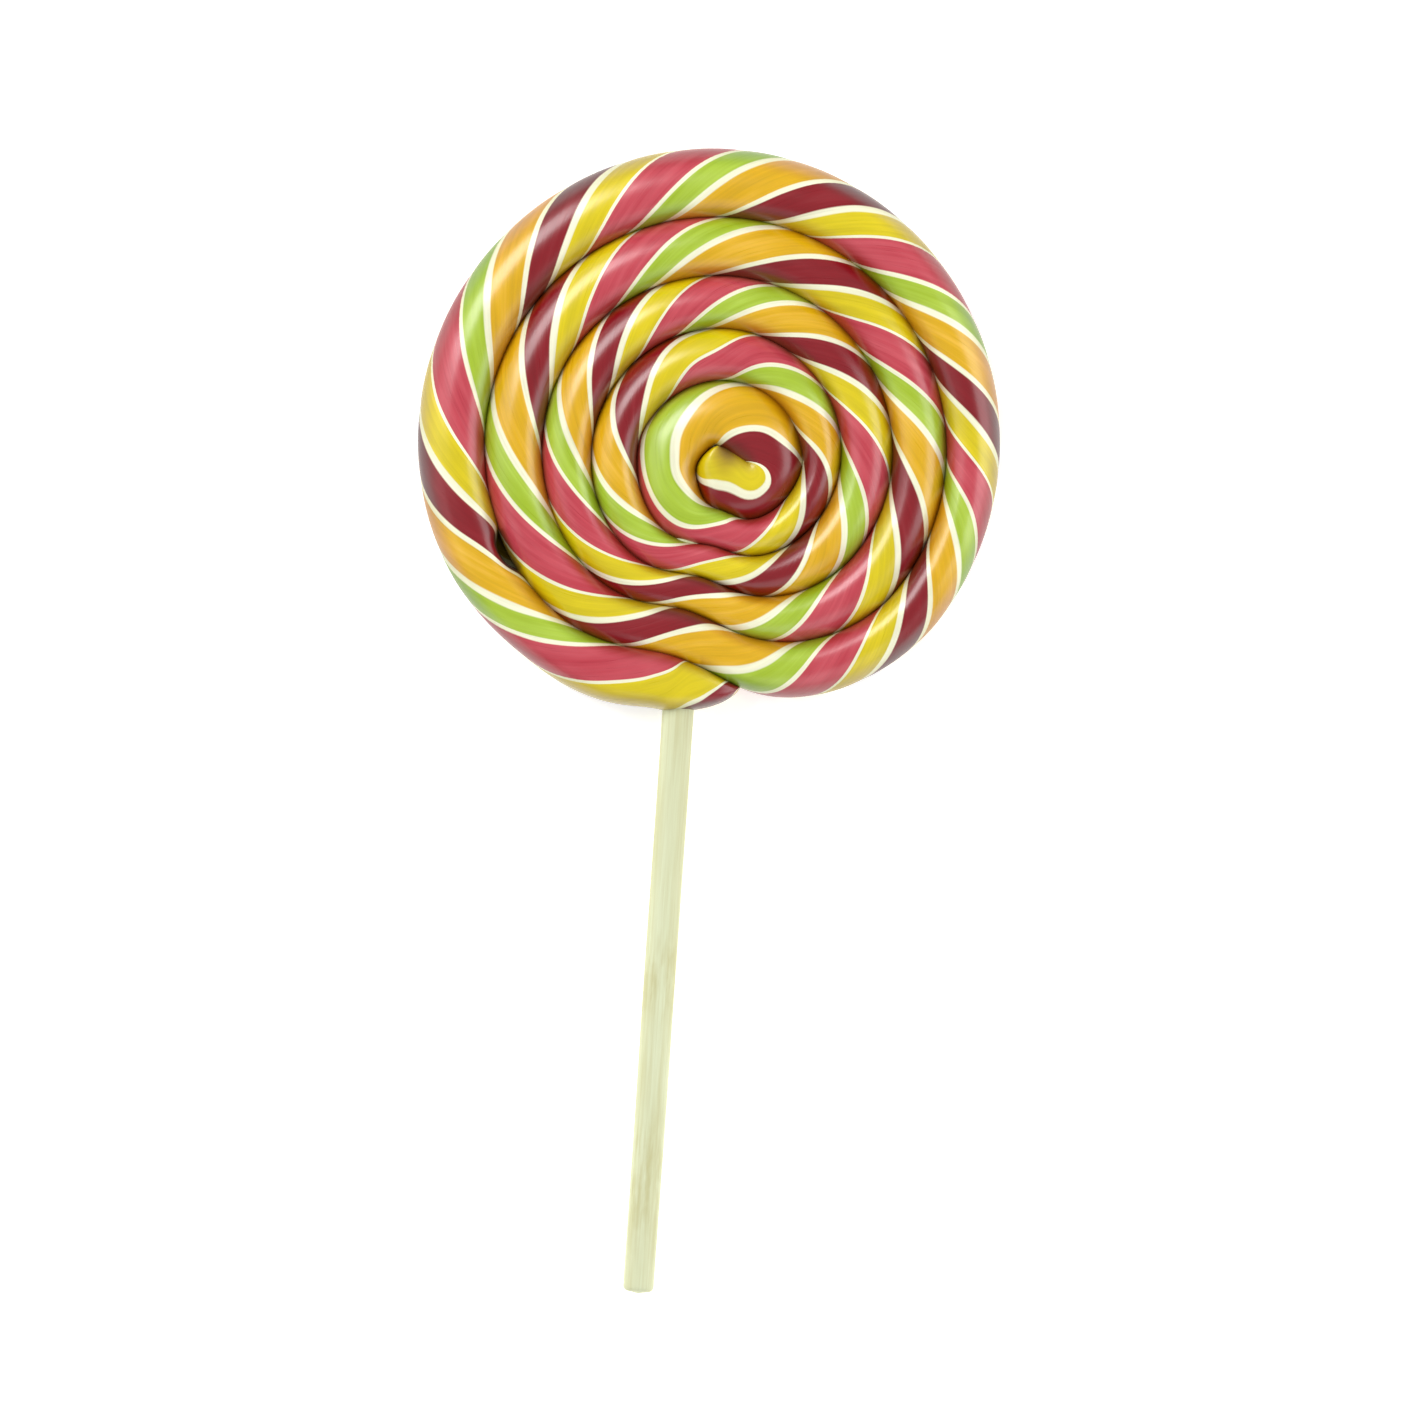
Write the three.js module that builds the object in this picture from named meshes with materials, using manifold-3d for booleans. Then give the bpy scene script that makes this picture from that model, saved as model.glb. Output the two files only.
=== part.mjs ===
// A swirl lollipop lying on its back: one twisted rope of boiled sugar, wound flat round itself
// and set on a wooden stick. Millimetres, +Z up. The origin is the middle of the disc, on the
// surface that it lies on, and the stick runs along -Y.
//
// Places along the rope are counted in turns: 0 is above the stick, at the rope's outer tail, and
// the count grows clockwise as seen from above (a quarter turn on is at -X) towards the middle.

import * as THREE from 'three';
import { LoftGeometry } from 'three/addons/geometries/LoftGeometry.js';
import { mergeVertices } from 'three/addons/utils/BufferGeometryUtils.js';
import Module from 'manifold-3d';

const { clamp, lerp, smoothstep } = THREE.MathUtils;

// The coil: a single edge curve, seen from above. The rope fills the band between the edge at
// one place and the edge one turn further on.
const rimRadius = 49.9; // outermost turn, about its own centre
const rimCentre = new THREE.Vector2(0, -0.45);
const firstStep = 10.4; // how far the first lap steps in
const stepEase = 0.37; // and how much less each later one does, per lap squared
const lapDrift = new THREE.Vector2(0.9, -0.69); // how far the centre wanders with each lap
const jogTurn = 0.944; // the outer laps are round, and step in here, beside the stick
const jogLength = 0.205;
const creepStart = 2.02; // from here they also creep inwards all the way round
const creepFull = 4.06; // and from here they only do that
const eye = new THREE.Vector2(4.2, -2.2); // the innermost turn closes round a slit here
const slitHalfLength = 2.8;
const slitHalfWidth = -0.12; // less than nothing: its sides run into each other
const slitLean = THREE.MathUtils.degToRad(-26); // from +X
const eyeStart = 5;
const eyeEnd = 5.42;
const unevenPlaces = [ // it swells out or sinks in here: turn, length in turns, height
  [0.04, 0.02, 0.6], [0.1, 0.045, -1.2], [0.28, 0.13, 0.4], [0.53, 0.14, 0.85], [0.93, 0.04, 0.7],
  [1.78, 0.08, 0.3], [2.78, 0.07, 0.3], [3.48, 0.08, 0.4], [4.28, 0.05, 0.4], [4.75, 0.05, 0.4],
  [5.19, 0.05, 1],
];

// The pinch: each lap is pressed in, and pressed squarer, where it crosses the stick.
const pinchTurn = 0.018;
const rimPinchLength = 0.04;
const pinchLength = 0.054;
const pinchGrowth = [0.5, 1]; // laps over which its length grows from the one to the other
const pinchDepth = 3.75;
const pinchFade = 0.53; // less deep by this much for each lap

// The rope.
const ropeHeight = 10.8; // at the rim, before the underside is pressed flat
const heightLoss = 0.2; // for each lap
const flatDepth = 0.8; // every lap's underside is pressed flat by this much
const roundness = 2; // power of the section's superellipse
const pinchRoundness = 3.6;
const eyeRoundness = 4; // the innermost lap stays high up to the slit
const eyeRoundStart = 4.3;
const eyeRoundEnd = 4.8;
const underRoundness = 4.5; // the underside spread on the slab
const lean = 0.12; // the crest stands inwards by this share of the half width
const overlap = 0.015; // share of its width that the rope runs into its neighbour on each side
const gapTurn = 0.165; // the outer two turns part for a short way here, above their contact
const gapLength = 0.014;
const gapWidth = 0.32; // in half widths of the rope
const gapSharpness = 6; // the higher, the less the crest beside it gives way
const gapBottom = -0.7; // in half heights from the rope's middle
const gapFloor = -0.2; // and from here up it has its full width
const tailTurn = -0.0285; // tip of the outer tail
const tailLength = 0.044;
const tailPower = 1.3; // of its outline: 2 is round, 1 a straight cut
const tailUnder = 0.057; // the next turn starts to overlap outwards this far before it meets the tail
const innerEndTurn = 5.4;
const innerEndLength = 0.25;
const innerEndPower = 2;

// The stick and its socket.
const stickX = -2.28;
const stickZ = 4.5;
const stickBottomY = -147.6;
const stickTopY = -12;
const stickTopRadius = 2.76;
const stickBottomRadius = 2.64;
const stickRounding = 0.9; // on the edges of both ends
const stickDome = 0.35; // how far the sawn ends bulge
const socketGap = 0.3;

// How finely the shapes are cut.
const sectionsPerTurn = 32;
const sectionsPerLength = 16; // the rope is joined from lengths of half a turn
const tailSections = 5;
const topPoints = 12;
const underAngles = [198, 214, 226, 314, 326, 342]; // degrees, with the flat between the middle two
const bluntness = 0.02; // share of its length at which an end is cut off
const stickSides = 32;
const roundingSteps = 4;
const tongueScale = 0.8;
const weldDistance = 1e-3;

// A bump of height 1 and the given half-width, repeated every turn.
function bumpEachTurn(turn, middle, width) {
  const away = turn - middle - Math.round(turn - middle);
  return Math.exp(-((away / width) ** 2));
}

// How many laps in the edge is: it climbs by one in each jog, and evenly where the rope creeps.
function lapsAt(turn) {
  const sinceJog = turn - jogTurn;
  const jog = Math.round(sinceJog);
  const stepped = jog + smoothstep(sinceJog - jog, -jogLength / 2, jogLength / 2);
  const creep = clamp((turn - creepStart) / (creepFull - creepStart), 0, 1);
  return lerp(stepped, sinceJog + 0.5, creep);
}

// The slit at the eye: an ellipse so thin that its sides meet.
function slitAt(outward) {
  const along = new THREE.Vector2(Math.cos(slitLean), Math.sin(slitLean));
  const side = new THREE.Vector2(-along.y, along.x);
  return eye.clone().addScaledVector(along, outward.dot(along) * slitHalfLength)
    .addScaledVector(side, outward.dot(side) * slitHalfWidth);
}

// The edge curve: radius rimRadius - firstStep n + stepEase n^2 for lap n, about a centre that
// drifts with n, less the pinch. Near the middle it draws in to the slit.
function edgeAt(turn) {
  const laps = lapsAt(turn);
  const length = lerp(rimPinchLength, pinchLength, smoothstep(laps, ...pinchGrowth));
  const pinch = Math.max(0, pinchDepth - pinchFade * laps) * bumpEachTurn(turn, pinchTurn, length);
  const radius = rimRadius - firstStep * laps + stepEase * laps ** 2 - pinch;
  const angle = 2 * Math.PI * turn;
  const outward = new THREE.Vector2(-Math.sin(angle), -Math.cos(angle));
  const onCoil = lapDrift.clone().multiplyScalar(laps).add(rimCentre).addScaledVector(outward, radius);
  const edge = onCoil.lerp(slitAt(outward), smoothstep(turn, eyeStart, eyeEnd));
  for (const [place, spread, height] of unevenPlaces) {
    edge.addScaledVector(outward, height * Math.exp(-(((turn - place) / spread) ** 2)));
  }
  return edge;
}

// How far the rope's inner side draws back where the outer two turns part.
function gapAt(turn) {
  return gapWidth * Math.exp(-(Math.abs((turn - gapTurn) / gapLength) ** 3));
}

// How full the rope is near an end: (1 - (1 - t)^p)^(1/p), a quarter circle for p = 2.
function fullnessFrom(distance, length, power) {
  const share = clamp(distance / length, bluntness, 1);
  return (1 - (1 - share) ** power) ** (1 / power);
}

// Angles round a section, evenly over its top and as given under it.
function sectionAngles() {
  const angles = underAngles.map((angle) => THREE.MathUtils.degToRad(angle));
  for (let i = 0; i <= topPoints; i += 1) angles.push(2 * Math.PI + Math.PI * i / topPoints);
  return angles;
}

// One section of the rope. At angle a its radius is (|cos a|^p + |sin a|^p)^(-1/p), and it is
// stretched to the rope's width and height. Everything below the resting plane is pressed up to
// it. The rim has no neighbour outside, so it only overlaps outwards under its own tail.
function ropeSection(turn) {
  const outer = edgeAt(turn);
  const inner = edgeAt(turn + 1);
  const across = inner.clone().sub(outer);
  const tail = fullnessFrom(turn - tailTurn, tailLength, tailPower);
  const fullness = tail * fullnessFrom(innerEndTurn - turn, innerEndLength, innerEndPower);
  const overlapOutside = overlap * smoothstep(turn, 1 - tailUnder, 1 + tailLength);
  outer.addScaledVector(across, 1 - tail - overlapOutside);
  inner.addScaledVector(across, turn < eyeStart - 1 ? overlap : 0);

  const outerPower = lerp(roundness, pinchRoundness, bumpEachTurn(turn, pinchTurn, pinchLength));
  const innerPower = lerp(outerPower, eyeRoundness, smoothstep(turn, eyeRoundStart, eyeRoundEnd));
  const fullHeight = (ropeHeight - heightLoss * lapsAt(turn)) / 2;
  const middle = fullHeight - flatDepth;
  return sectionAngles().map((angle) => {
    const topPower = Math.cos(angle) < 0 ? innerPower : outerPower;
    const power = Math.sin(angle) > 0 ? topPower : underRoundness;
    const radius = (Math.abs(Math.cos(angle)) ** power + Math.abs(Math.sin(angle)) ** power) ** (-1 / power);
    const z = radius * Math.sin(angle);
    const x = radius * Math.cos(angle) - lean * Math.max(z, 0);
    const nearInner = clamp((1 - x) / 2, 0, 1) ** gapSharpness;
    const drawnBack = gapAt(turn) * nearInner * smoothstep(z, gapBottom, gapFloor);
    const place = outer.clone().lerp(inner, (1 - x - drawnBack) / 2);
    return new THREE.Vector3(place.x, place.y, Math.max(0, middle + fullHeight * Math.sqrt(fullness) * z));
  });
}

const wasm = await Module();
wasm.setup();

function toSolid(geometry) {
  const bare = new THREE.BufferGeometry();
  bare.setAttribute('position', geometry.attributes.position);
  bare.setIndex(geometry.index);
  const merged = mergeVertices(bare, weldDistance);
  return new wasm.Manifold(new wasm.Mesh({
    numProp: 3,
    vertProperties: new Float32Array(merged.attributes.position.array),
    triVerts: new Uint32Array(merged.index.array),
  }));
}

function toGeometry(solid) {
  const mesh = solid.getMesh();
  const geometry = new THREE.BufferGeometry();
  geometry.setAttribute('position', new THREE.BufferAttribute(new Float32Array(mesh.vertProperties), 3));
  geometry.setIndex(new THREE.BufferAttribute(new Uint32Array(mesh.triVerts), 1));
  geometry.computeVertexNormals();
  return geometry;
}

// The outer shell alone, without the slivers that can be left where two surfaces meet.
function outerShell(solid) {
  const shells = toSolid(toGeometry(solid)).decompose();
  return shells.reduce((largest, shell) => (shell.volume() > largest.volume() ? shell : largest));
}

// A section drawn in towards its own middle.
function shrunk(section, scale) {
  const middle = new THREE.Vector3();
  section.forEach((point) => middle.addScaledVector(point, 1 / section.length));
  return section.map((point) => middle.clone().lerp(point, scale));
}

// Turns at which the sections stand: closer towards the tail's blunt tip, and then at the same
// places in every turn, so that neighbouring turns fit each other.
function sectionTurns() {
  const turns = [];
  for (let i = 0; i < tailSections; i += 1) {
    turns.push(tailTurn + tailLength * (1 - Math.cos(Math.PI / 2 * i / tailSections)));
  }
  const first = Math.ceil((tailTurn + tailLength) * sectionsPerTurn);
  for (let i = first; i < innerEndTurn * sectionsPerTurn; i += 1) turns.push(i / sectionsPerTurn);
  turns.push(innerEndTurn);
  return turns;
}

// The rope overlaps itself from turn to turn, so it is joined from short lengths. Each length
// ends in a tongue inside the next one.
function coiledRope() {
  const sections = sectionTurns().map(ropeSection);
  const last = sections.length - 1;
  let rope = null;
  for (let start = 0; start < last; start += sectionsPerLength) {
    const end = start + sectionsPerLength;
    const length = sections.slice(start, end + 1);
    if (end < last) length.push(shrunk(sections[end + 1], tongueScale));
    const solid = toSolid(new LoftGeometry(length, { capStart: true, capEnd: true }));
    rope = rope ? rope.add(solid) : solid;
  }
  return rope;
}

// A turned stick along +Y from its lower end, its ends slightly domed and rounded at the edge.
// With clearance it is the socket that the stick sits in.
function stickGeometry(clearance) {
  const profile = [];
  const end = (radius, y, side) => {
    const ring = [new THREE.Vector2(0, y - side * clearance)];
    for (let i = 0; i <= roundingSteps; i += 1) {
      const angle = Math.PI / 2 * i / roundingSteps;
      const x = radius - stickRounding * (1 - Math.sin(angle));
      const inset = stickDome + stickRounding * (1 - Math.cos(angle));
      ring.push(new THREE.Vector2(x + clearance, y + side * (inset - clearance)));
    }
    return ring;
  };
  profile.push(...end(stickBottomRadius, stickBottomY, 1));
  profile.push(...end(stickTopRadius, stickTopY, -1).reverse());
  const geometry = new THREE.LatheGeometry(profile, stickSides);
  geometry.translate(stickX, 0, stickZ);
  return geometry;
}

const socket = toSolid(stickGeometry(socketGap));
const candySolid = coiledRope().subtract(socket);

const candy = new THREE.Mesh(toGeometry(outerShell(candySolid)), new THREE.MeshStandardMaterial({
  color: 0xd8733a,
  roughness: 0.3,
  metalness: 0,
}));
candy.name = 'candy';

const stick = new THREE.Mesh(stickGeometry(0), new THREE.MeshStandardMaterial({
  color: 0xdde3ba,
  roughness: 0.7,
  metalness: 0,
}));
stick.name = 'stick';

const lollipop = new THREE.Group();
lollipop.add(candy, stick);

export default lollipop;
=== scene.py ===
# A swirl lollipop lying on its back: one twisted rope of boiled sugar wound flat round itself,
# on a wooden stick. Places along the rope are counted in turns: 0 is over the stick, at the
# rope's outer tail, and the count grows clockwise, seen from above, towards the middle.

import math

import bpy
import numpy as np
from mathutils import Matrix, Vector


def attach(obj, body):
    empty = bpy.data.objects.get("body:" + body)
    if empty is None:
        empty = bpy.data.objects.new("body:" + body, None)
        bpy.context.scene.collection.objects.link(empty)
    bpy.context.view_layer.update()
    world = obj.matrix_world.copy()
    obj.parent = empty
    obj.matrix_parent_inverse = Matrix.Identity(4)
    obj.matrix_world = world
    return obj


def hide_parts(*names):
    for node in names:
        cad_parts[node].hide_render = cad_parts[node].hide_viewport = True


mm = 0.001

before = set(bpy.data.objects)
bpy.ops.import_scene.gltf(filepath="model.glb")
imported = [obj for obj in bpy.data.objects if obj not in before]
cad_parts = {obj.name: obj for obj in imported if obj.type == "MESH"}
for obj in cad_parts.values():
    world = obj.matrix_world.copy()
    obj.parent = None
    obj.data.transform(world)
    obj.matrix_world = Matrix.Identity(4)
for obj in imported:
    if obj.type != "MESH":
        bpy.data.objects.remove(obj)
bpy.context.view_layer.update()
print("frame loaded:", ", ".join(sorted(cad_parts)))


# Shared helpers come first: curves, meshes from grids, and node trees.

# 0 below start, 1 above end, and 3t^2 - 2t^3 of the share t between them.
def smoothStep(value, start, end):
    share = np.clip((value - start) / (end - start), 0, 1)
    return share * share * (3 - 2 * share)


# A bump of height 1: the bell exp(-(distance / width)^2).
def bell(value, middle, width):
    return np.exp(-((value - middle) / width) ** 2)


# The same bell, repeated every turn.
def bellEachTurn(turn, middle, width):
    away = turn - middle - np.round(turn - middle)
    return np.exp(-(away / width) ** 2)


# One value blended into another: first + share x (second - first).
def blend(first, second, share):
    return first + (second - first) * share


# A closed skin from rings of points: quads between neighbouring rings, and a fan of triangles
# from a pole at each end. uv holds one more column than the rings, so that the seam is closed
# in the mesh and still runs on in the map.
def skinFromRings(name, rings, firstPole, lastPole, uv):
    rows, columns = rings.shape[:2]
    places = np.concatenate([rings.reshape(-1, 3), [firstPole, lastPole]])
    row, column = np.meshgrid(np.arange(rows - 1), np.arange(columns), indexing="ij")
    along = (column + 1) % columns
    quads = np.stack([row * columns + column, row * columns + along,
                      (row + 1) * columns + along, (row + 1) * columns + column], -1).reshape(-1, 4)
    quadUv = np.stack([uv[row, column], uv[row, column + 1],
                       uv[row + 1, column + 1], uv[row + 1, column]], 2).reshape(-1, 2)
    side = np.arange(columns)
    after = (side + 1) % columns
    last = (rows - 1) * columns
    firstFan = np.stack([np.full(columns, rows * columns), after, side], -1)
    lastFan = np.stack([np.full(columns, rows * columns + 1), last + side, last + after], -1)
    firstUv = np.stack([(uv[0, :-1] + uv[0, 1:]) / 2, uv[0, 1:], uv[0, :-1]], 1).reshape(-1, 2)
    lastUv = np.stack([(uv[-1, :-1] + uv[-1, 1:]) / 2, uv[-1, :-1], uv[-1, 1:]], 1).reshape(-1, 2)

    mesh = bpy.data.meshes.new(name)
    faces = quads.tolist() + firstFan.tolist() + lastFan.tolist()
    mesh.from_pydata(places.tolist(), [], faces)
    layer = mesh.uv_layers.new(name="along")
    corners = np.concatenate([quadUv, firstUv, lastUv]).astype(np.float32)
    layer.data.foreach_set("uv", corners.ravel())
    mesh.polygons.foreach_set("use_smooth", np.ones(len(faces), bool))
    mesh.update()
    piece = bpy.data.objects.new(name, mesh)
    bpy.context.scene.collection.objects.link(piece)
    return piece


# A colour given as a screen shows it, 0 to 255, as the linear values that nodes take: a
# straight line in the darkest part, and a power of 2.4 above it.
def screenColour(red, green, blue):
    share = np.array([red, green, blue]) / 255
    linear = np.where(share <= 0.04045, share / 12.92, ((share + 0.055) / 1.055) ** 2.4)
    return (*linear.tolist(), 1.0)


# A new material with its tree and its shader.
def newMaterial(name):
    material = bpy.data.materials.new(name)
    material.use_nodes = True
    tree = material.node_tree
    return material, tree, tree.nodes["Principled BSDF"]


# A node's inputs, each set to a value or linked to another node's socket.
def setInputs(tree, node, inputs):
    for key, value in inputs.items():
        if isinstance(value, bpy.types.NodeSocket):
            tree.links.new(value, node.inputs[key])
        else:
            node.inputs[key].default_value = value


# A node with its settings and its inputs.
def addNode(tree, kind, inputs, **settings):
    node = tree.nodes.new(kind)
    for key, value in settings.items():
        setattr(node, key, value)
    setInputs(tree, node, inputs)
    return node


# One sum on one or two numbers.
def addMath(tree, operation, first, second=0.0):
    return addNode(tree, "ShaderNodeMath", {0: first, 1: second}, operation=operation).outputs[0]


# A bump of height 1: the bell e^-((value - middle) / width)^2.
def addBell(tree, value, middle, width):
    away = addMath(tree, "DIVIDE", addMath(tree, "SUBTRACT", value, middle), width)
    square = addMath(tree, "MULTIPLY", away, away)
    return addMath(tree, "POWER", math.e, addMath(tree, "MULTIPLY", square, -1.0))


# Noise on the given place, stretched by the given scale along each axis.
def addNoise(tree, place, scale, detail, roughness):
    stretched = addNode(tree, "ShaderNodeMapping", {"Vector": place, "Scale": scale})
    noise = addNode(tree, "ShaderNodeTexNoise", {
        "Vector": stretched.outputs[0], "Scale": 1.0, "Detail": detail, "Roughness": roughness})
    return noise.outputs["Fac"]


# A number carried from one range to another, and kept inside it.
def addRange(tree, value, low, high, newLow, newHigh):
    carried = addNode(tree, "ShaderNodeMapRange", {
        "Value": value, "From Min": low, "From Max": high, "To Min": newLow, "To Max": newHigh})
    return carried.outputs[0]


# One colour mixed into another by the share.
def addMix(tree, share, first, second):
    mix = addNode(tree, "ShaderNodeMix", {"Factor": share, "A": first, "B": second},
                  data_type="RGBA")
    return mix.outputs[2]


# A value kept on the mesh's points.
def addPointValue(tree, name):
    return addNode(tree, "ShaderNodeAttribute", {}, attribute_name=name).outputs["Fac"]


# Fine relief from a height of 0 to 1, which the distance makes metres.
def addBump(tree, height, strength, distance):
    bump = addNode(tree, "ShaderNodeBump", {
        "Height": height, "Strength": strength, "Distance": distance})
    return bump.outputs[0]


# The coil: the rope's outer edge, seen from above, in millimetres and turns.
coil = {
    "rimRadius": 49.9,
    "rimCentre": (0, -0.45),
    "firstStep": 10.4,  # how far the first lap steps in
    "stepEase": 0.37,  # and how much less each later one does, per lap squared
    "lapDrift": (0.9, -0.69),  # how far the centre wanders with each lap
    "jogTurn": 0.944,  # the outer laps are round, and step in here
    "jogLength": 0.205,
    "creepStart": 2.02,  # from here they also creep inwards all the way round
    "creepFull": 4.06,
    "eye": (4.2, -2.2),  # the innermost turn closes round a slit here
    "slitHalfLength": 2.8,
    "slitHalfWidth": -0.12,  # less than nothing: its sides run into each other
    "slitLean": -26,  # degrees from +X
    "eyeStart": 5.0,
    "eyeEnd": 5.42,
    "pinchTurn": 0.018,  # each lap is pressed in where it crosses the stick
    "pinchDepth": 3.75,
    "pinchFade": 0.53,  # and less so by this much each lap
    "rimPinchLength": 0.04,
    "pinchLength": 0.054,
    "pinchGrows": (0.5, 1),  # the laps over which the one length becomes the other
    "uneven": (  # it swells out or sinks in at these turns: place, length, height
        (0.04, 0.02, 0.6), (0.1, 0.045, -1.2), (0.28, 0.13, 0.4), (0.53, 0.14, 0.85),
        (0.93, 0.04, 0.7), (1.78, 0.08, 0.3), (2.78, 0.07, 0.3), (3.48, 0.08, 0.4),
        (4.28, 0.05, 0.4), (4.75, 0.05, 0.4), (5.19, 0.05, 1.0),
    ),
}


# How many laps in the edge is: it climbs by one in each jog, and evenly where the rope creeps.
def lapsAt(turn):
    sinceJog = turn - coil["jogTurn"]
    jog = np.round(sinceJog)
    stepped = jog + smoothStep(sinceJog - jog, -coil["jogLength"] / 2, coil["jogLength"] / 2)
    creep = np.clip((turn - coil["creepStart"]) / (coil["creepFull"] - coil["creepStart"]), 0, 1)
    return blend(stepped, sinceJog + 0.5, creep)


# The slit at the eye: an ellipse so thin that its sides cross by a little.
def slitAt(outward):
    lean = math.radians(coil["slitLean"])
    along = np.array([math.cos(lean), math.sin(lean)])
    side = np.array([-math.sin(lean), math.cos(lean)])
    return (np.array(coil["eye"]) + (outward @ along)[:, None] * along * coil["slitHalfLength"]
            + (outward @ side)[:, None] * side * coil["slitHalfWidth"])


# The edge: radius rimRadius - firstStep n + stepEase n^2 for lap n, less the pinch, about a
# centre that drifts with n. Near the middle it draws in to the slit. The uneven places are bells.
def edgeAt(turn):
    laps = lapsAt(turn)
    length = blend(coil["rimPinchLength"], coil["pinchLength"], smoothStep(laps, *coil["pinchGrows"]))
    depth = np.maximum(0, coil["pinchDepth"] - coil["pinchFade"] * laps)
    pinch = depth * bellEachTurn(turn, coil["pinchTurn"], length)
    radius = coil["rimRadius"] - coil["firstStep"] * laps + coil["stepEase"] * laps ** 2 - pinch
    outward = -np.stack([np.sin(2 * np.pi * turn), np.cos(2 * np.pi * turn)], -1)
    centre = np.array(coil["rimCentre"]) + laps[:, None] * np.array(coil["lapDrift"])
    onCoil = centre + outward * radius[:, None]
    nearEye = smoothStep(turn, coil["eyeStart"], coil["eyeEnd"])[:, None]
    swell = sum(height * bell(turn, place, length) for place, length, height in coil["uneven"])
    return blend(onCoil, slitAt(outward), nearEye) + outward * swell[:, None]


# The twist: the strands' places round the rope, in full twists, and where along it.
twist = {
    # turns at the tail, and the full twists made by then
    "outerTurns": (-0.03, -0.016, -0.006, 0.005, 0.0166, 0.031, 0.052, 0.103),
    "outerCounts": (-0.22, -0.03, 0.03, 0.063, 0.126, 0.167, 0.21, 0.393),
    # turns at which a full twist ends: it was twisted by hand, so unevenly
    "ends": (0.214, 0.4, 0.563, 0.724, 0.862, 1.076, 1.345, 1.596, 1.814, 2.079, 2.383, 2.653,
             2.957, 3.367, 3.835),
    # it runs ahead or lags at these turns: place, length, share of a twist
    "uneven": (
        (0.12, 0.035, 0.036), (0.33, 0.05, -0.012), (0.6, 0.12, -0.007), (0.775, 0.025, 0.036),
        (0.955, 0.04, 0.06), (1.21, 0.07, -0.027), (1.47, 0.07, 0.037), (1.78, 0.05, -0.005),
        (1.97, 0.06, 0.042), (2.22, 0.1, -0.027), (2.51, 0.08, 0.026), (2.78, 0.1, -0.03),
        (3.3, 0.05, 0.015), (3.48, 0.04, -0.05), (3.65, 0.07, -0.034), (3.94, 0.045, -0.028),
    ),
    # turns towards the inner end, where the twist dies out, and the full twists made by then
    "innerTurns": (4.02, 4.1, 4.19, 4.276, 4.38, 4.5, 4.61, 4.72, 4.77, 4.83, 4.88, 5.0, 5.06, 5.1,
                   5.15, 5.22, 5.45),
    "innerCounts": (15.365, 15.455, 15.515, 15.565, 15.622, 15.718, 15.808, 15.885, 15.955, 16.002,
                    16.011, 16.005, 16.008, 16.016, 16.043, 16.085, 16.09),
    "innerFan": (4.3, 5.15, 0.28),  # fewer strands cover the top there: from, to, share of them
    "outerFan": (0.075, 0.0, 0.5),  # and at the tail
    "skew": (0.02, 0.024),  # how the strands' slant changes round each turn, and on the inner laps
    "skewOpens": (0, 0.06),  # it comes in, grows on the inner laps and fades over these turns
    "skewGrows": (2.9, 3.1),
    "skewFades": (4.05, 4.3),
    "strands": (  # each strand's end, and the half width of the pale line there
        ("yellow", 0.178, 0.0095),
        ("raspberry", 0.406, 0.0135),
        ("lime", 0.569, 0.0205),
        ("orange", 0.797, 0.017),
        ("cherry", 1.0, 0.0205),
    ),
    "eyeLine": (4.86, 5.12, 0.35),  # the pale lines widen at the eye: from, to, share
    "lineDepth": 0.05,  # millimetres by which the pale lines lie lower
    "bulge": 0.07,  # and by which the strands between them swell
}


# Full twists from the rope's tail to the turn: a smooth curve through the ends of the twists
# (cubic pieces that share their slopes where they meet), and the bells of the uneven places.
def twistsAt(turn):
    turns = np.array([*twist["outerTurns"], *twist["ends"], *twist["innerTurns"]])
    counts = np.array([*twist["outerCounts"], *range(1, len(twist["ends"]) + 1), *twist["innerCounts"]])
    slope = np.gradient(counts, turns)
    piece = np.clip(np.searchsorted(turns, turn) - 1, 0, len(turns) - 2)
    length = turns[piece + 1] - turns[piece]
    share = (turn - turns[piece]) / length
    steady = blend(counts[piece], counts[piece + 1], share ** 2 * (3 - 2 * share))
    leaving = share * (1 - share) ** 2 * length * slope[piece]
    arriving = share ** 2 * (share - 1) * length * slope[piece + 1]
    ahead = sum(amount * bell(turn, place, width) for place, width, amount in twist["uneven"])
    return steady + leaving + arriving + ahead


# How much of the twist the rope's top takes up, as a share of its plain half: 1, and less
# towards the ends, where fewer strands cover it.
def fanAt(turn):
    start, end, inner = twist["innerFan"]
    tailStart, tailEnd, outer = twist["outerFan"]
    return (1 - (1 - inner) * smoothStep(turn, start, end)
            - (1 - outer) * smoothStep(-turn, -tailStart, -tailEnd))


# How much further round the strands reach on the rope's outer side than on its inner side:
# a cos(turn), and more on the inner laps. It fades out at the rope's ends.
def skewAt(turn):
    eachTurn, inner = twist["skew"]
    skew = eachTurn * np.cos(2 * np.pi * turn) + inner * smoothStep(turn, *twist["skewGrows"])
    return skew * smoothStep(turn, *twist["skewOpens"]) * (1 - smoothStep(turn, *twist["skewFades"]))


# How far the surface lies out of the plain section, by its place in the twist: each strand
# swells as the sine of its share, and the bells of the pale lines press it in.
def reliefAt(phase, spread):
    place = phase % 1
    relief = np.zeros_like(place)
    start = 0.0
    for _, end, line in twist["strands"]:
        inside = (place >= start) & (place < end)
        swell = np.sin(np.pi * (place - start) / (end - start)) * twist["bulge"]
        relief = np.where(inside, swell, relief)
        away = np.abs(place - end % 1)
        away = np.minimum(away, 1 - away)
        relief = relief - twist["lineDepth"] * bell(away, 0, line * spread)
        start = end
    return relief


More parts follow.
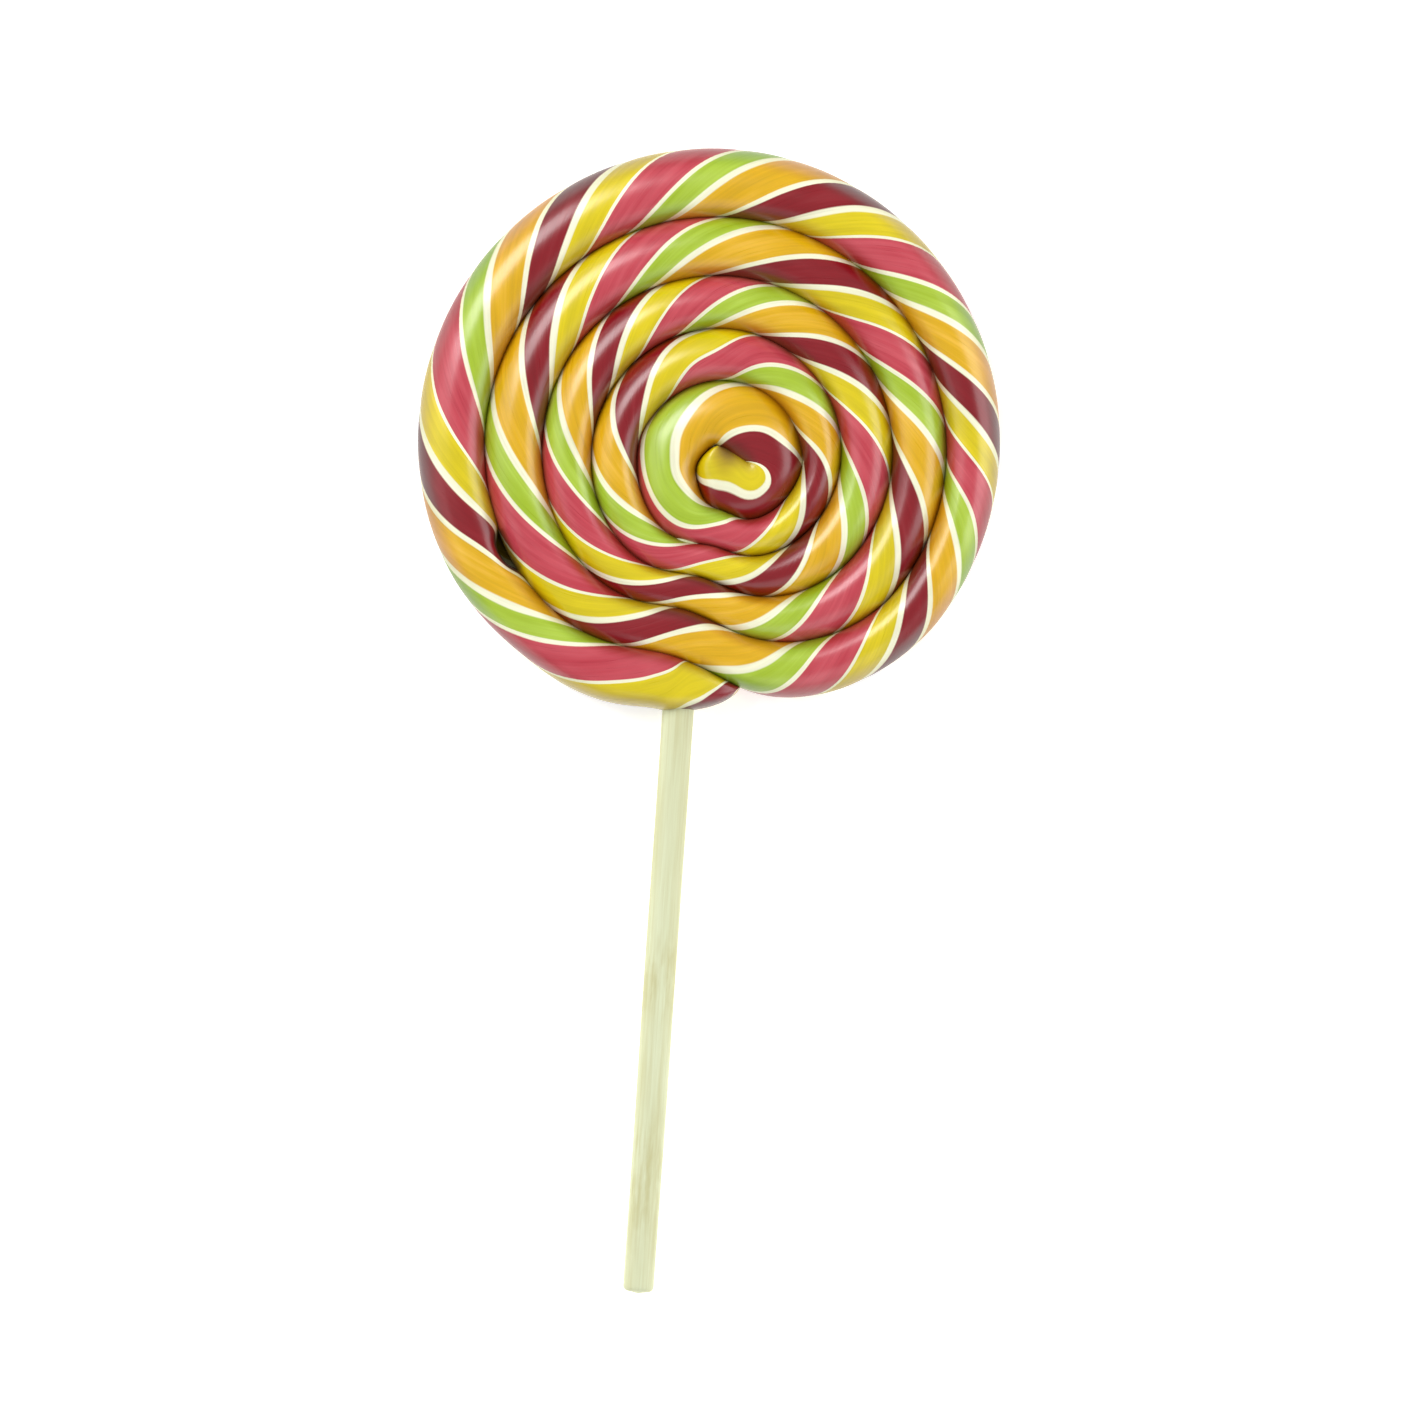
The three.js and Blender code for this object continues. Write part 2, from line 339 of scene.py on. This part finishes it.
# The rope's section. Across it x runs from 1 at the outer edge to -1 at the inner, and z runs
# from -1 underneath to 1 on top.
rope = {
    "height": 10.8,  # at the rim, before the underside is pressed flat, in millimetres
    "heightLoss": 0.2,  # for each lap
    "flatDepth": 0.8,  # every lap's underside is pressed flat by this much
    "roundness": 2.0,  # power of the section's superellipse
    "pinchRoundness": 3.6,
    "eyeRoundness": 4,  # the innermost lap stays high up to the slit
    "eyeRounds": (4.3, 4.8),  # the turns over which it comes to that
    "underRoundness": 4.5,  # the underside spread on the slab
    "lean": 0.12,  # the crest stands inwards by this share of the half width
    "overlap": 0.015,  # share of its width that the rope runs into its neighbour
    "overlapStarts": (0.943, 1.044),  # turns over which it meets the neighbour outside it
    "gapTurn": 0.165,  # the outer two turns part for a short way here, above their contact
    "gapLength": 0.014,
    "gapWidth": 0.32,  # in half widths of the rope
    "gapSharpness": 6,  # the higher, the less the crest beside it gives way
    "gapHeights": (-0.7, -0.2),  # z from which it opens, and at which it is fully open
    "tailTurn": -0.0285,
    "tailLength": 0.044,
    "tailPower": 1.3,  # of its outline: 2 is round, 1 a straight cut
    "tailRows": 28,
    "innerEndTurn": 5.4,
    "innerEndLength": 0.25,
    # painted shade (darker) and painted bounce light (browner) on a groove's sides: x from, x to,
    # strength
    "outerPaintedShade": (0.78, 1.0, 0.4),
    "innerPaintedShade": (0.45, 1.05, 0.75),
    "rimPaintedShade": (0.4, 1.05, 1.0),
    "outerPaintedBounce": (0.65, 0.95, 1.0),
    "innerPaintedBounce": (0.6, 1.0, 0.6),
    "eyeShade": (4.98, 5.14, 0.9),  # painted shadow on the tongue at the eye: turns, strength
    "eyeShadeSide": (-0.1, 0.9),  # and more so towards its inner side: -x from and to
    "gapShade": (0.04, 0.12),  # painted shade in the gap, where it is as open as this: from, to
    "gapShadeInner": (0.55, 0.75),  # z over which that fades out, on the rope's inner side
    "gapShadeOuter": (0.4, 0.6),  # and on the outer side of the next lap
    "rowLength": 0.56,  # from ring to ring, in millimetres
    "ringPoints": 60,
    "finePoints": 6000,  # at which the rope's length is measured
    "sineDigits": 6,  # kept of a sine, so that it is 0 at the rope's sides
}


# How far the rope's inner side draws back where the outer two turns part: a steep-sided bell
# exp(-|distance / length|^3), in half widths.
def gapAt(turn):
    return rope["gapWidth"] * np.exp(-np.abs((turn - rope["gapTurn"]) / rope["gapLength"]) ** 3)


# Turns at which the rings stand: closer and closer towards the blunt tip of the tail, and
# then evenly along the rope's middle line.
def ringTurns():
    quarter = np.linspace(0, np.pi / 2, rope["tailRows"] + 1)[1:]
    tail = rope["tailTurn"] + rope["tailLength"] * (1 - np.cos(quarter))
    fine = np.linspace(tail[-1], rope["innerEndTurn"], rope["finePoints"])
    middle = (edgeAt(fine) + edgeAt(fine + 1)) / 2
    reach = np.concatenate([[0], np.cumsum(np.linalg.norm(np.diff(middle, axis=0), axis=1))])
    rows = int(reach[-1] / rope["rowLength"])
    return np.concatenate([tail[:-1], np.interp(np.linspace(0, reach[-1], rows), reach, fine)])


# How full the rope is near an end: (1 - (1 - t)^p)^(1/p), a quarter circle for p = 2.
def fullnessFrom(distance, length, power=2):
    share = np.clip(distance / length, 0, 1)
    return (1 - (1 - share) ** power) ** (1 / power)


# How far the named painted shade or painted bounce light has come in at a value: its strength x the
# smooth step.
def shadeAt(name, value):
    start, end, strength = rope[name]
    return strength * smoothStep(value, start, end)


# Painted shade and painted bounce light: how much darker and how much browner the colour is
# made. Both grow smoothly towards the grooves at the rope's sides. The rim's outer side gets
# painted shade but no brown. The tongue at the eye has more of both; the gap has painted shade.
def paintedGrooveLightAt(turn, x, z, drawnBack):
    onRim = (x > 0) & (turn < 1)
    paintedShade = np.where(x < 0, shadeAt("innerPaintedShade", -x), shadeAt("outerPaintedShade", x))
    # painted shade on the rim's outer flank, darker towards its silhouette
    paintedShade = np.where(onRim, shadeAt("rimPaintedShade", x), paintedShade)
    paintedBounce = np.where(x < 0, shadeAt("innerPaintedBounce", -x), shadeAt("outerPaintedBounce", x))
    paintedBounce = np.where(onRim, 0, paintedBounce)
    paintedEyeShadow = shadeAt("eyeShade", turn) * smoothStep(-x, *rope["eyeShadeSide"])
    innerLow = 1 - smoothStep(z, *rope["gapShadeInner"])
    outerLow = 1 - smoothStep(z, *rope["gapShadeOuter"])
    paintedGapShadow = np.where(x < 0, smoothStep(drawnBack, *rope["gapShade"]) * innerLow,
                     smoothStep(gapAt(turn - 1), *rope["gapShade"]) * outerLow)
    return paintedShade + paintedEyeShadow + paintedGapShadow, paintedBounce + paintedEyeShadow


# The rope's rings. At angle a the radius is (|cos a|^p + |sin a|^p)^(-1/p), a superellipse, and
# it is stretched from the outer edge to the edge one turn further on. Everything under the
# resting plane is pressed up to it. Near the ends the height falls off as the fullness's root.
# Where fewer strands cover the top, they crowd together underneath, so they meet all round.
def ropeRings(turn):
    outer = edgeAt(turn)
    inner = edgeAt(turn + 1)
    across = inner - outer
    tail = fullnessFrom(turn - rope["tailTurn"], rope["tailLength"], rope["tailPower"])
    end = fullnessFrom(rope["innerEndTurn"] - turn, rope["innerEndLength"])
    overlapOutside = rope["overlap"] * smoothStep(turn, *rope["overlapStarts"])
    overlapInside = rope["overlap"] * (turn < coil["eyeStart"] - 1)
    outer = outer + across * (1 - tail - overlapOutside)[:, None]
    inner = inner + across * overlapInside[:, None]

    angle = np.linspace(0, 2 * np.pi, rope["ringPoints"] + 1)[None, :]
    pressed = bellEachTurn(turn, coil["pinchTurn"], coil["pinchLength"])[:, None]
    nearEye = smoothStep(turn, *rope["eyeRounds"])[:, None]
    topPower = blend(rope["roundness"], rope["pinchRoundness"], pressed)
    topPower = np.where(np.cos(angle) < 0, blend(topPower, rope["eyeRoundness"], nearEye), topPower)
    power = np.where(np.sin(angle) > 0, topPower, rope["underRoundness"])
    radius = (np.abs(np.cos(angle)) ** power + np.abs(np.sin(angle)) ** power) ** (-1 / power)

    fan = fanAt(turn)[:, None]
    fromCrest = (angle + math.atan(rope["lean"]) * fan - np.pi / 2
                 - (1 - fan) * np.arcsin(-np.cos(angle)))
    phase = twistsAt(turn)[:, None] + fromCrest / (2 * np.pi) + skewAt(turn)[:, None] * np.cos(angle)
    spread = 1 - (1 - fan) * np.sign(np.sin(angle).round(rope["sineDigits"]))
    start, full, extra = twist["eyeLine"]
    spread = spread * (1 + extra * smoothStep(turn, start, full))[:, None]

    halfHeight = (rope["height"] - rope["heightLoss"] * lapsAt(turn)) / 2
    middle = halfHeight - rope["flatDepth"]
    halfHeight = halfHeight * np.sqrt(tail * end)
    radius = radius + reliefAt(phase, spread) / halfHeight.max() * (tail * end)[:, None]
    z = radius * np.sin(angle)
    x = radius * np.cos(angle) - rope["lean"] * np.maximum(z, 0)
    drawnBack = gapAt(turn)[:, None] * np.clip((1 - x) / 2, 0, 1) ** rope["gapSharpness"]
    x = x + drawnBack * smoothStep(z, *rope["gapHeights"])
    flat = outer[:, None, :] + (inner - outer)[:, None, :] * ((1 - x) / 2)[..., None]
    height = np.maximum(0, middle[:, None] + halfHeight[:, None] * z)
    paintedShade, paintedBounce = paintedGrooveLightAt(turn[:, None], x, z, drawnBack)
    return np.concatenate([flat, height[..., None]], -1), phase, spread, paintedShade, paintedBounce


# The rope's skin. Its map holds the place in the twist, and the metres along the crest. Its
# points hold how wide the pale lines are in the twist, and the painted shade and bounce light there.
def makeCandy():
    turn = ringTurns()
    rings, phase, spread, paintedShade, paintedBounce = ropeRings(turn)
    crest = rings[:, rope["ringPoints"] // 4]
    step = np.linalg.norm(np.diff(crest, axis=0), axis=1)
    reach = np.concatenate([[0], np.cumsum(step)]) * mm
    uv = np.stack([phase, np.broadcast_to(reach[:, None], phase.shape)], -1)
    rings = rings[:, :-1] * mm
    candy = skinFromRings("sugar_rope", rings, rings[0].mean(0), rings[-1].mean(0), uv)
    for name, values in (("spread", spread), ("paintedShade", paintedShade), ("paintedBounce", paintedBounce)):
        values = np.concatenate([values[:, :-1].ravel(), [1, 1]]).astype(np.float32)  # and the poles
        candy.data.attributes.new(name, "FLOAT", "POINT").data.foreach_set("value", values)
    print("candy:", len(turn), "rings,", len(candy.data.polygons), "faces")
    return candy


# The sugar's colours and finish.
sugar = {
    "yellow": screenColour(228, 207, 3),
    "raspberry": screenColour(203, 78, 90),
    "lime": screenColour(177, 205, 66),
    "orange": screenColour(232, 182, 38),
    "cherry": screenColour(140, 13, 27),
    "line": screenColour(255, 254, 222),
    "lineReach": 3,  # the way to a line is measured up to this many of its half widths
    "lineBlur": 0.25,  # share of a line's half width
    "paintedShadeStrength": 0.4,  # painted shade: the grooves are this much darker
    "paintedShadeDepth": 0.6,  # and painted deeper in colour
    "creviceRoughness": 0.25,  # and duller
    "paintedBounce": screenColour(177, 111, 40),  # painted bounce light in the grooves, standing for light gone through the sugar
    "paintedBounceShare": 0.35,
    # noises on the map: scale round the rope and along it, detail, roughness
    "wander": ((9.0, 60.0, 1.0), 2.0, 0.5),  # shakes the strands' edges
    "silk": ((75.0, 70.0, 1.0), 4.0, 0.6),
    "band": ((26.0, 45.0, 1.0), 2.0, 0.5),
    "cloud": ((8.0, 90.0, 1.0), 2.0, 0.5),
    # what each noise does: its range, and the range it is carried to
    "wanderTwist": (0, 1, -0.012, 0.012),
    "silkShade": (0.25, 0.75, -0.08, 0.08),
    "bandShade": (0.3, 0.7, -0.07, 0.07),
    "cloudShade": (0.25, 0.75, 0.9, 1.1),
    "bandRichness": (0.3, 0.7, 0.03, -0.03),
    "cloudRichness": (0.25, 0.75, 1.06, 0.99),
    "silkRoughness": (0.2, 0.8, 0.24, 0.38),
    "silkBump": (0.5, 0.00008),  # strength, and height in metres
    "gloss": {  # the shader's own settings, lengths in metres
        "IOR": 1.52,
        "Coat Weight": 0.7,
        "Coat Roughness": 0.26,
        "Subsurface Weight": 0.06,
        "Subsurface Radius": (1.0, 0.6, 0.4),
        "Subsurface Scale": 0.0015,
    },
}


# The strands' colours as one ramp over a full twist, with the pale lines laid over where they
# meet. A second ramp gives the way to the nearest line, 0 on it and 1 at lineReach half widths.
def strandPaint(tree, phase, spread):
    colours = addNode(tree, "ShaderNodeValToRGB", {"Fac": phase})
    colours.color_ramp.interpolation = "CONSTANT"
    ways = addNode(tree, "ShaderNodeValToRGB", {"Fac": phase})
    black, white = (0, 0, 0, 1), (1, 1, 1, 1)
    start, reachBefore = 0.0, sugar["lineReach"] * twist["strands"][-1][2]
    colourStops, wayStops = [], []
    for name, end, line in twist["strands"]:
        reach = sugar["lineReach"] * line
        colourStops.append((start, sugar[name]))
        wayStops += [(start, black), (start + reachBefore, white), (end - reach, white)]
        start, reachBefore = end, reach
    wayStops.append((1.0, black))
    for ramp, stops in ((colours, colourStops), (ways, wayStops)):
        elements = ramp.color_ramp.elements
        elements[0].position, elements[0].color = stops[0]
        elements[1].position, elements[1].color = stops[-1]
        for position, colour in stops[1:-1]:
            elements.new(position).color = colour
    halfWidth = addMath(tree, "MULTIPLY", spread, 1 / sugar["lineReach"])
    way = addMath(tree, "DIVIDE", ways.outputs["Color"], halfWidth)
    blur = sugar["lineBlur"]
    lineShare = addNode(tree, "ShaderNodeMapRange", {
        "Value": way, "From Min": 1 - blur, "From Max": 1 + blur, "To Min": 1.0, "To Max": 0.0},
        interpolation_type="SMOOTHSTEP")
    return addMix(tree, lineShare.outputs[0], colours.outputs["Color"], sugar["line"])


# Boiled sugar: five colours of pulled strand with fine silky streaks along them.
def candyMaterial():
    material, tree, shader = newMaterial("pulled_sugar")
    along = addNode(tree, "ShaderNodeUVMap", {}, uv_map="along").outputs[0]
    twistPlace = addNode(tree, "ShaderNodeSeparateXYZ", {0: along}).outputs[0]
    wander, silk, band, cloud = (addNoise(tree, along, *sugar[name])
                                 for name in ("wander", "silk", "band", "cloud"))
    spread, paintedShade, paintedBounce = (addPointValue(tree, name) for name in ("spread", "paintedShade", "paintedBounce"))

    phase = addMath(tree, "ADD", twistPlace, addRange(tree, wander, *sugar["wanderTwist"]))
    paint = strandPaint(tree, addMath(tree, "FRACT", phase), spread)
    # painted shade and painted bounce light in the grooves: the colour deepened and browned there
    deeper = addMath(tree, "MULTIPLY", paintedShade, sugar["paintedShadeDepth"])
    shadeDeepened = addNode(tree, "ShaderNodeGamma", {
        "Color": paint, "Gamma": addMath(tree, "ADD", 1.0, deeper)}).outputs[0]
    paintedBounceShare = addMath(tree, "MULTIPLY", paintedBounce, sugar["paintedBounceShare"])
    bounceTinted = addMix(tree, paintedBounceShare, shadeDeepened, sugar["paintedBounce"])

    streaks = addMath(tree, "ADD", addRange(tree, silk, *sugar["silkShade"]),
                      addRange(tree, band, *sugar["bandShade"]))
    shade = addMath(tree, "ADD", streaks, addRange(tree, cloud, *sugar["cloudShade"]))
    # painted shade: darker towards the grooves
    darker = addMath(tree, "MULTIPLY", paintedShade, sugar["paintedShadeStrength"])
    shade = addMath(tree, "MULTIPLY", shade, addMath(tree, "SUBTRACT", 1.0, darker))
    richness = addMath(tree, "ADD", addRange(tree, band, *sugar["bandRichness"]),
                       addRange(tree, cloud, *sugar["cloudRichness"]))
    varied = addNode(tree, "ShaderNodeHueSaturation", {
        "Color": bounceTinted, "Value": shade, "Saturation": richness})

    duller = addMath(tree, "MULTIPLY", paintedShade, sugar["creviceRoughness"])
    setInputs(tree, shader, {
        "Base Color": varied.outputs[0],
        "Roughness": addMath(tree, "ADD", addRange(tree, silk, *sugar["silkRoughness"]), duller),
        "Normal": addBump(tree, silk, *sugar["silkBump"]),
        **sugar["gloss"],
    })
    return material


candy = makeCandy()
candy.data.materials.append(candyMaterial())
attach(candy, "root")
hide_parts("candy")


# The stick, in millimetres, and its wood.
stick = {
    "x": -2.28,  # of its middle line
    "z": 4.5,
    "bottomY": -147.6,
    "topY": -12,
    "topRadius": 2.76,
    "bottomRadius": 2.64,
    "rounding": 0.9,
    "dome": 0.35,  # its ends stand out by this much in the middle
    "bodyRows": 260,
    "endRows": 8,
    "sides": 72,
    "unevenness": 0.04,  # its radius sways by this much at most, as the mean of these waves:
    "waves": ((2, 0.05, 0), (3, -0.11, 1)),  # number round it, radians each millimetre, start
    # noises on the place in metres: scale across, along and across it, detail, roughness
    "fibre": ((2600.0, 60.0, 2600.0), 5.0, 0.6),
    "patch": ((260.0, 26.0, 260.0), 2.0, 0.5),
    "fleck": ((700.0, 130.0, 700.0), 3.0, 0.5),
    # what each noise does: its range, and the range it is carried to
    "fibreTone": (0.3, 0.7, -0.25, 0.25),
    "patchTone": (0.4, 0.75, 0.3, 0.9),
    "fleckTone": (0.42, 0.62, 0, 0.6),
    "fibreRoughness": (0.2, 0.8, 0.5, 0.68),
    "fibreBump": (0.4, 0.00005),  # strength, and height in metres
    "flecksAt": ((-93, 7), (-128, 11)),  # places along it with browner flecks: middle, length
    "pale": (0.15, screenColour(228, 234, 197)),  # tone, colour
    "brown": (1.0, screenColour(207, 205, 155)),
}


# The stick's rings: a profile of dome, rounded edge and straight side, turned about the stick's
# own axis. The side's radius sways by slow sines round and along it, as turned wood does.
def makeStick():
    quarter = np.linspace(0, np.pi / 2, stick["endRows"])
    inset = stick["dome"] + stick["rounding"] * (1 - np.cos(quarter))
    tuck = stick["rounding"] * (1 - np.sin(quarter))
    ends = [stick["bottomY"], stick["topY"]]
    body = np.linspace(ends[0] + inset[-1], ends[1] - inset[-1], stick["bodyRows"])[1:-1]
    bodyRadius = np.interp(body, ends, [stick["bottomRadius"], stick["topRadius"]])
    y = np.concatenate([ends[0] + inset, body, (ends[1] - inset)[::-1]])[:, None]
    radius = np.concatenate([stick["bottomRadius"] - tuck, bodyRadius, (stick["topRadius"] - tuck)[::-1]])
    angle = np.linspace(0, 2 * np.pi, stick["sides"] + 1)[None, :]
    sway = sum(np.sin(number * angle + slope * y + start) for number, slope, start in stick["waves"])
    radius = radius[:, None] + sway * stick["unevenness"] / len(stick["waves"])
    y = np.broadcast_to(y, radius.shape)
    rings = np.stack([stick["x"] + radius * np.cos(angle), y, stick["z"] - radius * np.sin(angle)], -1)
    uv = np.stack([np.broadcast_to(angle / (2 * np.pi), radius.shape), y * mm], -1)
    poles = [(stick["x"] * mm, end * mm, stick["z"] * mm) for end in ends]
    piece = skinFromRings("wooden_stick", rings[:, :-1] * mm, poles[0], poles[1], uv)
    print("stick:", len(piece.data.polygons), "faces")
    return piece


# Pale bare wood: long fine fibres, slightly browner patches, and bells of browner flecks.
def stickMaterial():
    material, tree, shader = newMaterial("pale_wood")
    place = addNode(tree, "ShaderNodeTexCoord", {}).outputs["Object"]
    along = addNode(tree, "ShaderNodeSeparateXYZ", {0: place}).outputs["Y"]
    fibre, patch, fleck = (addNoise(tree, place, *stick[name]) for name in ("fibre", "patch", "fleck"))
    tone = addMath(tree, "ADD", addRange(tree, fibre, *stick["fibreTone"]),
                   addRange(tree, patch, *stick["patchTone"]))
    flecks = addRange(tree, fleck, *stick["fleckTone"])
    for middle, length in stick["flecksAt"]:
        here = addMath(tree, "MULTIPLY", addBell(tree, along, middle * mm, length * mm), flecks)
        tone = addMath(tree, "ADD", tone, here)
    ramp = addNode(tree, "ShaderNodeValToRGB", {"Fac": tone})
    elements = ramp.color_ramp.elements
    elements[0].position, elements[0].color = stick["pale"]
    elements[1].position, elements[1].color = stick["brown"]
    setInputs(tree, shader, {
        "Base Color": ramp.outputs["Color"],
        "Roughness": addRange(tree, fibre, *stick["fibreRoughness"]),
        "Normal": addBump(tree, fibre, *stick["fibreBump"]),
    })
    return material


woodenStick = makeStick()
woodenStick.data.materials.append(stickMaterial())
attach(woodenStick, "root")
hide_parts("stick")


# Floor and lights, in metres.
stage = {
    "floorHalf": 20.0,
    "floorDrop": 0.00002,  # below the resting plane, clear of the flat underside
    "floorColour": screenColour(250, 250, 248),
    "floorRoughness": 0.9,
    "floorGlow": 0.58,
    "worldColour": (1, 1, 1, 1),
    "worldStrength": 0.35,
    "lampTarget": (0.0, -0.03, 0.0),
    "lamps": (  # name, place, sides, power in watts
        ("key", (-0.78, 0.66, 1.08), (0.8, 0.8), 13.6),
        ("left", (-1.15, 0.0, 0.5), (1.2, 1.0), 2.6),
        ("right", (1.15, 0.1, 0.5), (1.2, 1.0), 8.0),
        ("front", (0.35, -1.15, 0.6), (1.2, 1.0), 3.0),
    ),
}

# The camera looks straight down and is turned a little about its own axis.
view = {
    "aim": (0.0032, -0.0464),
    "turn": 3.94,  # degrees
    "width": 0.2448,  # across the picture at the rope's middle
    "distance": 3.0,
    "farEnd": 10.0,
    "sensor": 36.0,  # millimetres
}


# A square of glowing white paper: corners at plus and minus floorHalf.
def makeFloor():
    half, low = stage["floorHalf"], -stage["floorDrop"]
    mesh = bpy.data.meshes.new("floor")
    corners = [(-half, -half, low), (half, -half, low), (half, half, low), (-half, half, low)]
    mesh.from_pydata(corners, [], [(0, 1, 2, 3)])
    floor = bpy.data.objects.new("floor", mesh)
    bpy.context.scene.collection.objects.link(floor)
    material, tree, shader = newMaterial("floor_paper")
    setInputs(tree, shader, {
        "Base Color": stage["floorColour"],
        "Roughness": stage["floorRoughness"],
        "Emission Color": stage["floorColour"],
        "Emission Strength": stage["floorGlow"],
    })
    mesh.materials.append(material)


# Soft rectangular lamps, each turned to the lamp target and hidden from the camera.
def makeLamps():
    for name, place, sides, power in stage["lamps"]:
        light = bpy.data.lights.new(name, "AREA")
        light.shape = "RECTANGLE"
        light.size, light.size_y = sides
        light.energy = power
        lamp = bpy.data.objects.new(name, light)
        away = Vector(place) - Vector(stage["lampTarget"])
        lamp.location = place
        lamp.rotation_euler = away.to_track_quat("Z", "Y").to_euler()
        lamp.visible_camera = False
        bpy.context.scene.collection.objects.link(lamp)


# An even white glow from all round.
def makeWorld():
    world = bpy.data.worlds.new("soft_room")
    world.use_nodes = True
    background = world.node_tree.nodes["Background"]
    background.inputs["Color"].default_value = stage["worldColour"]
    background.inputs["Strength"].default_value = stage["worldStrength"]
    bpy.context.scene.world = world


# The camera over the rope. Its lens is sensor x distance / width, so that the width fills it.
def makeCamera():
    data = bpy.data.cameras.new("camera")
    data.sensor_width = view["sensor"]
    data.lens = view["sensor"] * view["distance"] / view["width"]
    data.clip_end = view["farEnd"]
    camera = bpy.data.objects.new("camera", data)
    middle = (rope["height"] / 2 - rope["flatDepth"]) * mm
    camera.location = (*view["aim"], view["distance"] + middle)
    camera.rotation_euler = (0, 0, math.radians(view["turn"]))
    bpy.context.scene.collection.objects.link(camera)
    bpy.context.scene.camera = camera


makeFloor()
makeLamps()
makeWorld()
makeCamera()
bpy.context.scene.view_settings.view_transform = "Standard"
print("stage ready")
